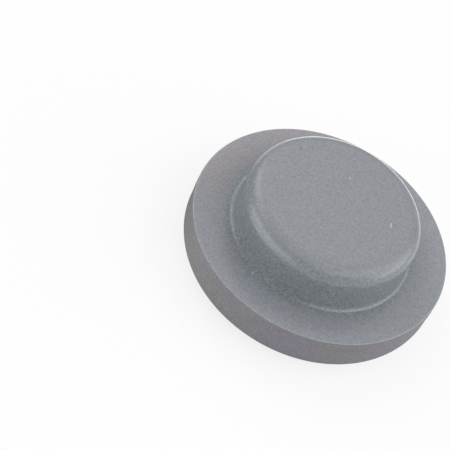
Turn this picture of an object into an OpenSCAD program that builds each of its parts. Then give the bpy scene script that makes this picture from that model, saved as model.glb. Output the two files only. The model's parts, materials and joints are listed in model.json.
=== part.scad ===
// Vial stopper moulded in one piece from grey rubber.
// A round flange carries a solid plug, which presses into the neck of a vial.
// It stands on its flange with the plug up, and every height counts from the tips of the spacer dots.

/* [Flange] */
// Diameter of the flange over its die-cut band
flange_d = 19; // [17:0.1:24]
// Height of the flange, from its outer face to its sealing face
flange_h = 3.5; // [2.8:0.1:6]
// Radius of the moulded edge round the outer face
flange_edge_r = 1.5; // [0.4:0.1:2]
// Height of the band that the trimming die cuts beside the sealing face
band_h = 0.8; // [0.3:0.05:1.2]
// How far the die-cut band stands out past the moulded wall
band_step = 0.05; // [0.02:0.01:0.2]
// Radius that breaks the edge of the band at the sealing face
band_edge_r = 0.08; // [0.02:0.01:0.2]

/* [Dish] */
// Diameter of the shallow dish in the outer face, over its soft lip
dish_d = 9.6; // [6:0.1:12]
// Diameter of the flat floor of the dish
dish_floor_d = 3; // [1:0.1:5]
// Depth of the dish
dish_depth = 0.5; // [0.1:0.05:1]

/* [Spacer dots] */
// Number of dots that keep stoppers from sticking to each other
dot_count = 4; // [3:1:8]
// Diameter of the circle that the dots stand on
dot_circle_d = 13.4; // [11.5:0.1:15.5]
// Diameter of a dot at its base
dot_d = 1.2; // [0.6:0.1:1.8]
// Height of a dot
dot_h = 0.2; // [0.05:0.05:0.5]

/* [Plug] */
// Diameter of the plug's straight wall
plug_d = 13; // [10:0.1:16]
// Height of the plug above the sealing face
plug_h = 3.65; // [2.5:0.05:8]
// Radius of the rounded edge at the end of the plug
plug_edge_r = 1.2; // [0.3:0.05:2]
// Height of the flare at the foot of the plug
flare_h = 1.1; // [0.5:0.05:2]
// How far the flare alone would spread past the wall at the sealing face
flare_w = 0.15; // [0.05:0.01:0.4]
// Radius of the fillet between the flare and the sealing face
foot_r = 0.14; // [0.05:0.01:0.4]

/* [Hidden] */
$fn = 96;

rubber_grey = [0.58, 0.59, 0.60];

// Heights of the faces, counted from the dots' tips
outer_face_z = dot_h;
sealing_face_z = outer_face_z + flange_h;
plug_end_z = sealing_face_z + plug_h;

// Half of the flange's section: moulded wall with its rounded edge, and the die-cut band
module flange_section() {
    band_r = flange_d / 2;
    wall_r = band_r - band_step;
    translate([0, outer_face_z]) {
        square([wall_r - flange_edge_r, flange_h]);
        translate([0, flange_edge_r])
            square([wall_r, flange_h - flange_edge_r]);
        translate([wall_r - flange_edge_r, flange_edge_r])
            circle(flange_edge_r);
        translate([0, flange_h - band_h]) {
            square([band_r - band_edge_r, band_h]);
            square([band_r, band_h - band_edge_r]);
            translate([band_r - band_edge_r, band_h - band_edge_r])
                circle(band_edge_r);
        }
    }
}

// Half of the plug's section: straight wall, rounded edge and flat end
module plug_section() {
    plug_r = plug_d / 2;
    translate([0, sealing_face_z]) {
        square([plug_r, plug_h - plug_edge_r]);
        square([plug_r - plug_edge_r, plug_h]);
        translate([plug_r - plug_edge_r, plug_h - plug_edge_r])
            circle(plug_edge_r);
    }
}

// Half of the section of the plug's foot: a hollow flare that runs off the wall, and the fillet below it
module foot_section() {
    // The flare's circle touches the wall at the flare's top
    flare_r = (flare_w * flare_w + flare_h * flare_h) / (2 * flare_w);
    flare_centre = [flare_r, flare_h];
    // The fillet's circle touches the sealing face, and the flare's circle from inside
    reach = sqrt(pow(flare_r - foot_r, 2) - pow(flare_h - foot_r, 2));
    foot_centre = [flare_r - reach, foot_r];
    touch = flare_centre + (foot_centre - flare_centre) * flare_r / (flare_r - foot_r);
    translate([plug_d / 2, sealing_face_z]) {
        difference() {
            square([flare_w, flare_h]);
            translate(flare_centre)
                circle(flare_r);
        }
        difference() {
            polygon([[0, 0], [foot_centre.x, 0], foot_centre, touch]);
            translate(foot_centre)
                circle(foot_r);
        }
    }
}

// Half of the dish's section: flat floor, then a hollow curve that turns into the lip's round one
module dish_section() {
    floor_r = dish_floor_d / 2;
    lip_r = dish_d / 2;
    slope_w = lip_r - floor_r;
    // Both curves have this radius, and meet halfway along the slope
    curve_r = (slope_w * slope_w / dish_depth + dish_depth) / 4;
    translate([0, outer_face_z]) {
        square([floor_r, dish_depth]);
        intersection() {
            translate([floor_r, dish_depth - curve_r])
                circle(curve_r);
            translate([floor_r, 0])
                square([slope_w / 2, dish_depth]);
        }
        difference() {
            translate([floor_r + slope_w / 2, 0])
                square([slope_w / 2, dish_depth / 2]);
            translate([lip_r, curve_r])
                circle(curve_r);
        }
    }
}

// One low dome, rooted in the outer face
module spacer_dot() {
    dome_r = (pow(dot_d / 2, 2) + pow(dot_h, 2)) / (2 * dot_h);
    root_h = dish_depth;
    intersection() {
        translate([0, 0, dome_r])
            sphere(dome_r);
        cylinder(d = dot_d, h = dot_h + root_h);
    }
}

module stopper() {
    color(rubber_grey) {
        rotate_extrude()
            difference() {
                union() {
                    flange_section();
                    plug_section();
                    foot_section();
                }
                dish_section();
            }
        for (i = [0 : dot_count - 1])
            rotate(i * 360 / dot_count)
                translate([dot_circle_d / 2, 0, 0])
                    spacer_dot();
    }
}

stopper();
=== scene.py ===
"""A grey rubber vial stopper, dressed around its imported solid.

It stands on the dots of its flange with the plug up. Lengths are metres, in the solid's own frame.
"""

import json
import math

import bmesh
import bpy
from mathutils import Matrix, Vector


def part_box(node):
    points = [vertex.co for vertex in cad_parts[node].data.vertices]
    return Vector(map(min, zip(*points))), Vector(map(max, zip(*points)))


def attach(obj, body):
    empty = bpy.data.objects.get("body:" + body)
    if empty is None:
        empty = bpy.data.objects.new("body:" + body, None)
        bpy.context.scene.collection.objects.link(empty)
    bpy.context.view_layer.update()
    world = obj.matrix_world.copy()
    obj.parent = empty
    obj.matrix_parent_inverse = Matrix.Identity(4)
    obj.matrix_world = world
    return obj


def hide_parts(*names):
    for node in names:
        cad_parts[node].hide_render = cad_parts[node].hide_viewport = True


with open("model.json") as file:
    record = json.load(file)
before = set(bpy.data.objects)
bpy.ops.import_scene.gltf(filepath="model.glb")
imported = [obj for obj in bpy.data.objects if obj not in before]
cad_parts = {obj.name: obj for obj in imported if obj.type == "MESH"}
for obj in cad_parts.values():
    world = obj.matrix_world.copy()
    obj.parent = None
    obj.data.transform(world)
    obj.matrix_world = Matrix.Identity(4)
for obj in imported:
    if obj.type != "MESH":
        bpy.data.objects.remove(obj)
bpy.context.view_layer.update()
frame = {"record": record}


# The stopper is one moulding of grey rubber: a round flange, and a solid plug on its sealing face.
# It is pressed in a hot mould as one of a whole sheet of stoppers, and a trimming die cuts it free.
# The cut leaves a narrow band beside the sealing face, which stands a hair past the moulded wall.
MM = 0.001
mounts = {mount["name"]: mount for mount in frame["record"]["mounts"]}
low_corner, high_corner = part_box("stopper")

outer_face_z = mounts["cap_face"]["pos_m"][2]
sealing_face_z = mounts["sealing_face"]["pos_m"][2]
plug_end_z = high_corner.z

band_r = high_corner.x
band_low_z = sealing_face_z - 0.8 * MM
band_edge_r = 0.08 * MM
wall_r = band_r - 0.05 * MM
flange_edge_r = 1.5 * MM

dish_r = 4.8 * MM
dish_floor_r = 1.5 * MM
dish_depth = 0.5 * MM

plug_r = mounts["plug"]["dims"]["r_mm"] * MM
plug_edge_r = 1.2 * MM
flare_top_z = sealing_face_z + 1.1 * MM
flare_turn = math.radians(14)
flare_r = 4 * MM
foot_r = 0.14 * MM

dot_count = 4
dot_circle_r = 6.7 * MM
dot_r = 0.6 * MM
dome_segments = 64
dome_rings = 48

turn_steps = 256
arc_steps = 24
flat_step = 0.35 * MM
weld_gap = 0.0005 * MM
smooth_angle = math.radians(28)

# Half of the section, corner by corner from the dish to the plug's end: radius, height, rounding.
# The two arcs of the dish are equal, and each takes half of the slope between them.
# They are made a little short, so that their ends don't run into each other.
dish_fill = 0.99
slope_w = dish_r - dish_floor_r
dish_curve_r = (slope_w ** 2 / dish_depth + dish_depth) / 4
dish_turn = math.asin(slope_w / 2 / dish_curve_r)
dish_reach = dish_curve_r * math.tan(dish_turn / 2)
dish_round_r = dish_fill * dish_curve_r
flare_corner_z = flare_top_z - flare_r * math.tan(flare_turn / 2)
flare_foot_r = plug_r + (flare_corner_z - sealing_face_z) * math.tan(flare_turn)
corners = [
    (0, outer_face_z + dish_depth, 0),
    (dish_floor_r + dish_reach, outer_face_z + dish_depth, dish_round_r),
    (dish_r - dish_reach, outer_face_z, dish_round_r),
    (wall_r, outer_face_z, flange_edge_r),
    (wall_r, band_low_z, 0),
    (band_r, band_low_z, 0),
    (band_r, sealing_face_z, band_edge_r),
    (flare_foot_r, sealing_face_z, foot_r),
    (plug_r, flare_corner_z, flare_r),
    (plug_r, plug_end_z, plug_edge_r),
    (0, plug_end_z, 0),
]


def round_corner(section, corner, radius):
    """Turns a corner of the half-section into an arc of that radius."""
    before, after = [edge.other_vert(corner).co - corner.co for edge in corner.link_edges]
    turn = math.pi - before.angle(after)
    bmesh.ops.bevel(section, geom=[corner], offset=radius * math.tan(turn / 2), offset_type="OFFSET",
                    segments=arc_steps, profile=0.5, affect="VERTICES", material=-1)


moulding = bmesh.new()
outline = [moulding.verts.new((radius, 0, height)) for radius, height, _ in corners]
for start, end in zip(outline, outline[1:]):
    moulding.edges.new((start, end))
for corner, (_, _, rounding) in zip(outline, corners):
    if rounding:
        round_corner(moulding, corner, rounding)
for edge in moulding.edges[:]:
    cuts = int(edge.calc_length() / flat_step)
    if cuts:
        bmesh.ops.subdivide_edges(moulding, edges=[edge], cuts=cuts)
bmesh.ops.spin(moulding, geom=moulding.verts[:] + moulding.edges[:], cent=(0, 0, 0), axis=(0, 0, 1),
               angle=2 * math.pi, steps=turn_steps, use_merge=True)
bmesh.ops.remove_doubles(moulding, verts=moulding.verts, dist=weld_gap)
bmesh.ops.recalc_face_normals(moulding, faces=moulding.faces)


def as_object(name, mesh):
    """Puts a finished bmesh into the scene under that name."""
    data = bpy.data.meshes.new(name)
    mesh.to_mesh(data)
    mesh.free()
    made = bpy.data.objects.new(name, data)
    bpy.context.collection.objects.link(made)
    return made


stopper = as_object("moulded_stopper", moulding)

# Low domes on the outer face keep stoppers from sticking to each other.
# Each is the cap of a ball whose tip stands on the ground and whose body is sunk in the flange.
dome_r = (dot_r ** 2 + outer_face_z ** 2) / (2 * outer_face_z)
domes = bmesh.new()
for number in range(dot_count):
    dot_turn = 2 * math.pi * number / dot_count
    seat = Matrix.Rotation(dot_turn, 4, "Z") @ Matrix.Translation((dot_circle_r, 0, dome_r))
    bmesh.ops.create_uvsphere(domes, u_segments=dome_segments, v_segments=dome_rings,
                              radius=dome_r, matrix=seat)
dots = as_object("spacer_dots", domes)
joined = stopper.modifiers.new("spacer_dots", "BOOLEAN")
joined.operation = "UNION"
joined.solver = "EXACT"
joined.object = dots
whole = stopper.evaluated_get(bpy.context.evaluated_depsgraph_get())
stopper.data = bpy.data.meshes.new_from_object(whole)
stopper.modifiers.clear()
bpy.data.objects.remove(dots)
stopper.data.shade_smooth()
stopper.data.set_sharp_from_angle(angle=smooth_angle)


class Field:
    """One socket of a node tree, so that shader maths reads as Python."""

    def __init__(self, tree, socket=None):
        self.tree = tree
        self.socket = socket

    def node(self, kind, settings=None, sockets=None, out=0):
        """Adds a node, gives it its settings, then its sockets' values or links, and returns one output."""
        made = self.tree.nodes.new(kind)
        for name, value in (settings or {}).items():
            setattr(made, name, value)
        for name, value in (sockets or {}).items():
            if isinstance(value, Field):
                self.tree.links.new(value.socket, made.inputs[name])
            else:
                made.inputs[name].default_value = value
        return Field(self.tree, made.outputs[out] if made.outputs else None)

    def math(self, operation, *values):
        """Adds a maths node that works on those values."""
        return self.node("ShaderNodeMath", {"operation": operation}, dict(enumerate(values)))

    def __add__(self, other):
        return self.math("ADD", self, other)

    def __sub__(self, other):
        return self.math("SUBTRACT", self, other)

    def __rsub__(self, other):
        return self.math("SUBTRACT", other, self)

    def __mul__(self, other):
        return self.math("MULTIPLY", self, other)

    def __truediv__(self, other):
        return self.math("DIVIDE", self, other)

    def __pow__(self, other):
        return self.math("POWER", self, other)

    def __gt__(self, other):
        return self.math("GREATER_THAN", self, other)

    def __lt__(self, other):
        return self.math("LESS_THAN", self, other)

    __radd__ = __add__
    __rmul__ = __mul__


rubber = bpy.data.materials.new("moulded_grey_rubber")
rubber.use_nodes = True
rubber.node_tree.nodes.clear()
spot = Field(rubber.node_tree).node("ShaderNodeTexCoord", out="Object")
x, y, z = [spot.node("ShaderNodeSeparateXYZ", sockets={"Vector": spot}, out=axis) for axis in "XYZ"]
radius = (x * x + y * y) ** 0.5


def noise(size, detail=2.0, vector=spot):
    """Soft noise about nought whose features are about that size."""
    cloud = spot.node("ShaderNodeTexNoise", sockets={"Vector": vector, "Scale": 1 / size, "Detail": detail})
    return cloud - 0.5


def fade(value, start, end):
    """Nought up to the start, one from the end on, and a smooth step between them."""
    return value.node("ShaderNodeMapRange", {"interpolation_type": "SMOOTHSTEP"},
                      {"Value": value, "From Min": start, "From Max": end})


def mark(place, reach):
    """One at that place, and nought from that distance on."""
    away = spot.node("ShaderNodeVectorMath", {"operation": "DISTANCE"}, {0: spot, 1: place}, out="Value")
    return 1 - fade(away, 0, reach)


def blend(share, first, second):
    """The first colour where the share is nought, the second where it is one."""
    return spot.node("ShaderNodeMix", {"data_type": "RGBA", "clamp_factor": True},
                     {0: share, 6: first, 7: second}, out=2)


# The compound is never mixed quite evenly: its hue drifts, it is mottled, and it has a fine grain.
drift = noise(3.2 * MM)
mottle = noise(0.75 * MM, 3)
grain = noise(0.17 * MM, 1)

# The rim of the flange is duller than the faces. The die scores its band from face to face.
# A thin painted highlight runs along the edge of the sealing face, where the cut edge catches the light.
hair = 0.04 * MM
scoring_stretch = 0.12
rim = (radius > wall_r - 0.3 * MM) * (z < sealing_face_z - hair)
cut = rim * (radius > band_r - hair) * (z > band_low_z)
# Painted highlight: a thin lighter band along the sealing face's edge.
sealing_edge_highlight = (fade(radius, band_r - 0.12 * MM, band_r - 0.06 * MM)
       * fade(z, sealing_face_z - 0.07 * MM, sealing_face_z - hair))
around = spot.math("ARCTAN2", y, x) * band_r
unrolled = spot.node("ShaderNodeCombineXYZ", sockets={"X": around, "Y": z * scoring_stretch})
scoring = noise(0.09 * MM, 2, unrolled)

# A painted highlight lies in flecks along the crease at the plug's foot, where its small fillet catches the
# light. At the front it is left out, and the crease there gets a little painted shade.
front_shade_bearing = math.radians(253)
plug_side = z > sealing_face_z - hair
crease = (fade(radius, plug_r + 0.06 * MM, plug_r + 0.14 * MM)
          * (1 - fade(radius, plug_r + 0.24 * MM, plug_r + 0.34 * MM)) * plug_side)
facing = (x * math.cos(front_shade_bearing) + y * math.sin(front_shade_bearing)) / radius
# Painted shade: the front of the crease, towards this bearing, is darkened and has no highlight.
front_shade = fade(facing, 0.70, 0.93)
foot_highlight_flecks = fade(noise(0.22 * MM, 2), 0.02, 0.14)
foot_highlight = crease * (1 - front_shade) * (0.7 + foot_highlight_flecks * 0.5)

# The plug's end has one small pit, darkened with painted shade, and there are pale specks and short fibres
# on it and at the foot.
# Each of these is a place in mm from the middle of the sealing face, a reach in mm and a strength.
pit_and_its_shade = mark((-4.22 * MM, 2.85 * MM, plug_end_z), 0.22 * MM)
plug_h_mm = (plug_end_z - sealing_face_z) / MM
pale_marks = [
    # The first speck is a painted highlight on the pit's lit side.
    ((-4.06, 3.05, plug_h_mm), 0.10, 0.4),
    ((-0.16, 2.62, plug_h_mm), 0.12, 1.1),
    ((3.90, 0.76, plug_h_mm), 0.13, 0.7),
    ((3.95, 0.61, plug_h_mm), 0.14, 1.0),
    ((4.00, 0.47, plug_h_mm), 0.13, 0.7),
    ((-0.21, -2.90, plug_h_mm), 0.09, 0.8),
    ((-6.62, 1.00, 0.06), 0.16, 0.8),
    ((-2.73, -6.48, 0), 0.12, 0.9),
    ((-2.78, -6.36, 0), 0.12, 0.9),
]
pale = 0
for (east, north, up), reach, strength in pale_marks:
    pale = pale + mark((east * MM, north * MM, sealing_face_z + up * MM), reach * MM) * strength

# The plug and the sealing face are bluish, and the plug's wall is a darker, greener grey, which is painted
# shade. The flange's far left is mauve and a little lighter, a painted warm light, the outer face is mauve,
# with a bluer slope in the dish, and the rim is olive and violet.
blue_grey = (0.229, 0.245, 0.271, 1)
mauve_grey = (0.256, 0.240, 0.266, 1)
wall_shade_grey = (0.210, 0.234, 0.252, 1)
olive_grey = (0.239, 0.236, 0.235, 1)
violet_grey = (0.242, 0.230, 0.271, 1)

flange = fade(radius, plug_r + 0.3 * MM, plug_r + 1.1 * MM)
# Painted warm light: the flange's far left is tinted mauve and made a little lighter.
far_left_light = flange * fade(y * 0.7 - x * 0.7, 2.5 * MM, 8.0 * MM)
# The plug's wall, where the darker, greener grey is painted shade.
wall = (fade(radius, plug_r - 0.5 * MM, plug_r)
        * (1 - fade(radius, plug_r + 0.2 * MM, plug_r + 0.9 * MM)) * plug_side)
below = z < outer_face_z + dish_depth + 0.1 * MM
slope = (fade(radius, dish_floor_r - 0.3 * MM, dish_floor_r + 0.7 * MM)
         * (1 - fade(radius, dish_r - 1.0 * MM, dish_r + 0.2 * MM)))
mauve = (flange * (0.04 + drift * 1.6) + far_left_light * (0.70 + drift * 4)
         + below * (1 - slope) * (0.75 + drift * 2))
face_colour = blend(wall, blend(mauve, blue_grey, mauve_grey), wall_shade_grey)
rim_colour = blend(0.42 + drift * 4, olive_grey, violet_grey)
hue = blend(rim, face_colour, rim_colour)

# Painted light: the outer part of the flange face is lighter, most of all on the back half.
outer_flange_light = (fade(radius, plug_r + 0.7 * MM, band_r - 0.5 * MM) * (1 - rim)
             * (0.04 + fade(y, -3 * MM, 3 * MM) * 0.09))
# The lightness adds painted light: the outer flange light, the sealing edge highlight, the far left light
# and the foot highlight; and painted shade in the front of the crease and in the pit.
lightness = (1 + mottle * 0.16 + grain * (0.62 + wall * 0.45) + outer_flange_light + sealing_edge_highlight * 0.22 + far_left_light * 0.03
             + foot_highlight * 0.50 - crease * front_shade * 0.04 + pale - pit_and_its_shade * 0.28)
colour = spot.node("ShaderNodeMix", {"data_type": "RGBA", "blend_type": "MULTIPLY"},
                   {0: 1.0, 6: hue, 7: lightness}, out=2)

relief = (1 - cut) * (grain * 0.6 + mottle * 0.8) + cut * scoring * 1.2 - pit_and_its_shade * 1.5
normal = spot.node("ShaderNodeBump", sockets={"Strength": 1.0, "Distance": 0.02 * MM, "Height": relief})
roughness = 0.45 + mottle * 0.16 + rim * 0.20

finish = spot.node("ShaderNodeBsdfPrincipled", sockets={
    "Base Color": colour, "Roughness": roughness, "Normal": normal, "IOR": 1.52,
    "Coat Weight": (1 - rim) * (1 - crease) * 0.8, "Coat Roughness": 0.20, "Coat IOR": 1.5})
spot.node("ShaderNodeOutputMaterial", sockets={"Surface": finish})

stopper.data.materials.clear()
stopper.data.materials.append(rubber)
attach(stopper, "root")
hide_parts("stopper")


# The bench is a plain white sheet under the stopper, wide enough to fill the view from any side.
# The camera sees it as paper white, all but a share near the stopper that keeps the soft shadow.
# What the rubber mirrors of it is painted reflection: darker on the left and far behind, with a painted
# glare close behind and front left.
# The light it bounces is painted shade on the left and far behind.
bench_w = 2.0
bench_white = 0.95
bench_bounce = 0.60
paper_share = 0.80
mirror_share = 0.65
back_glare = 1.6
front_left_glare = 0.9

bench_mesh = bmesh.new()
bmesh.ops.create_grid(bench_mesh, x_segments=1, y_segments=1, size=bench_w / 2)
bench = as_object("bench", bench_mesh)
paper = bpy.data.materials.new("white_bench")
paper.use_nodes = True
paper.node_tree.nodes.clear()
seen = Field(paper.node_tree).node("ShaderNodeLightPath", out="Is Camera Ray")
mirrored = seen.node("ShaderNodeLightPath", out="Is Glossy Ray")
on_bench = seen.node("ShaderNodeTexCoord", out="Object")
right, behind = [seen.node("ShaderNodeSeparateXYZ", sockets={"Vector": on_bench}, out=axis) for axis in "XY"]
left = right * -1
away = (right * right + behind * behind) ** 0.5

not_front = fade(behind, -9 * MM, -1 * MM)
left_side = fade(left - behind * 0.9, 2 * MM, 10 * MM) * not_front
front_left = fade(left, 4 * MM, 12 * MM) * (1 - not_front)
back_half = fade(behind, 0, 15 * MM)
far_back = back_half * fade(away, 30 * MM, 50 * MM)
close_behind = (fade(behind, 4 * MM, 14 * MM) * (1 - fade(away, 22 * MM, 36 * MM))
                * (1 - fade(right, 0, 14 * MM)) * (1 - fade(left, 6.8 * MM, 11 * MM)))

# Painted reflection: how bright the bench looks in the rubber, place by place.
painted_reflection_level = ((mirror_share + (back_half + front_left) * (1 - mirror_share))
                * (1 - left_side * 0.85) * (1 - far_back * 0.9))
bright = seen.math("MAXIMUM", seen, mirrored * painted_reflection_level)
# Painted glare: in reflections the bench glows brighter than white close behind and front left.
glare = 1 + mirrored * (close_behind * (1 - left_side) * back_glare + front_left * front_left_glare)
# Painted shade: the bench bounces less light on the left and far behind.
dim = bench_bounce * (1 - left_side * 0.6) * (1 - far_back * 0.5)
share = paper_share + fade(away, 20 * MM, 60 * MM) * (1 - paper_share)
scattering = seen.node("ShaderNodeBsdfDiffuse", sockets={"Color": dim + bright * (bench_white - dim)})
glowing = seen.node("ShaderNodeEmission", sockets={"Color": glare, "Strength": 1.0})
sheet = seen.node("ShaderNodeMixShader", sockets={0: bright * share, 1: scattering, 2: glowing})
seen.node("ShaderNodeOutputMaterial", sockets={"Surface": sheet})
bench.data.materials.append(paper)


# The light is a white tent: an even glow from all round, and panels behind its cloth.
# Each panel faces the stopper: bearing from +X, height above the bench in degrees, width, height, watts.
dome_level = 0.48
panel_distance = 0.60
panels = {
    "top": (270, 84, 0.45, 0.60, 0.34),
    "back": (90, 46, 0.36, 0.30, 0.17),
    "back_left": (130, 36, 0.60, 0.50, 0.30),
    "left_back": (142, 32, 0.32, 0.30, 0.23),
    "left": (164, 44, 0.50, 0.40, 0.44),
    "left_front": (221, 9, 0.84, 0.25, 1.22),
    "right_front": (308, 44, 0.30, 0.28, 0.22),
    "right_floor": (10, 6, 0.50, 0.12, 0.27),
    "right_low": (20, 18, 0.50, 0.26, 0.27),
    "right": (8, 36, 0.80, 0.66, 1.36),
    "right_high": (10, 52, 0.40, 0.30, 0.09),
}
aim = Vector((0, 0, sealing_face_z))
for name, (bearing, climb, width, height, watts) in panels.items():
    lamp = bpy.data.lights.new(name, "AREA")
    lamp.shape = "RECTANGLE"
    lamp.size = width
    lamp.size_y = height
    lamp.energy = watts
    stand = bpy.data.objects.new(name, lamp)
    turn = Matrix.Rotation(math.radians(bearing), 3, "Z") @ Matrix.Rotation(math.radians(-climb), 3, "Y")
    stand.location = aim + turn @ Vector((panel_distance, 0, 0))
    stand.rotation_euler = (aim - stand.location).to_track_quat("-Z", "Y").to_euler()
    bpy.context.collection.objects.link(stand)

tent = bpy.data.worlds.new("white_tent")
tent.use_nodes = True
tent.node_tree.nodes.clear()
seen = Field(tent.node_tree).node("ShaderNodeLightPath", out="Is Camera Ray")
level = dome_level + seen * (1 - dome_level)
glow = seen.node("ShaderNodeBackground", sockets={"Color": (1, 1, 1, 1), "Strength": level})
seen.node("ShaderNodeOutputWorld", sockets={"Surface": glow})
bpy.context.scene.world = tent


# The camera is a long lens that looks down on the plug from the front.
# It is rolled, so the stopper leans to the right, and turned, so it sits right of the middle.
picture_px = 450
sensor_w = 36.0
focal_px = 3076
distance = 217.15 * MM
elevation = math.radians(46.79)
roll = math.radians(29.62)
aim_px = Vector((320.89, 233.94))

camera = bpy.data.cameras.new("camera")
camera.sensor_width = sensor_w
camera.lens = focal_px * sensor_w / picture_px
camera.clip_start = 0.01
camera.clip_end = 5.0
tripod = bpy.data.objects.new("camera", camera)
off_axis = (aim_px - Vector((picture_px / 2, picture_px / 2))) / focal_px
sight = Vector((off_axis.x, -off_axis.y, -1))
tripod.matrix_world = (
    Matrix.Translation(aim)
    @ Matrix.Rotation(math.pi / 2 - elevation, 4, "X")
    @ Matrix.Rotation(roll, 4, "Z")
    @ Matrix.Translation((0, 0, distance))
    @ sight.rotation_difference(Vector((0, 0, -1))).to_matrix().to_4x4()
)
bpy.context.collection.objects.link(tripod)
bpy.context.scene.camera = tripod
bpy.context.scene.view_settings.view_transform = "Standard"
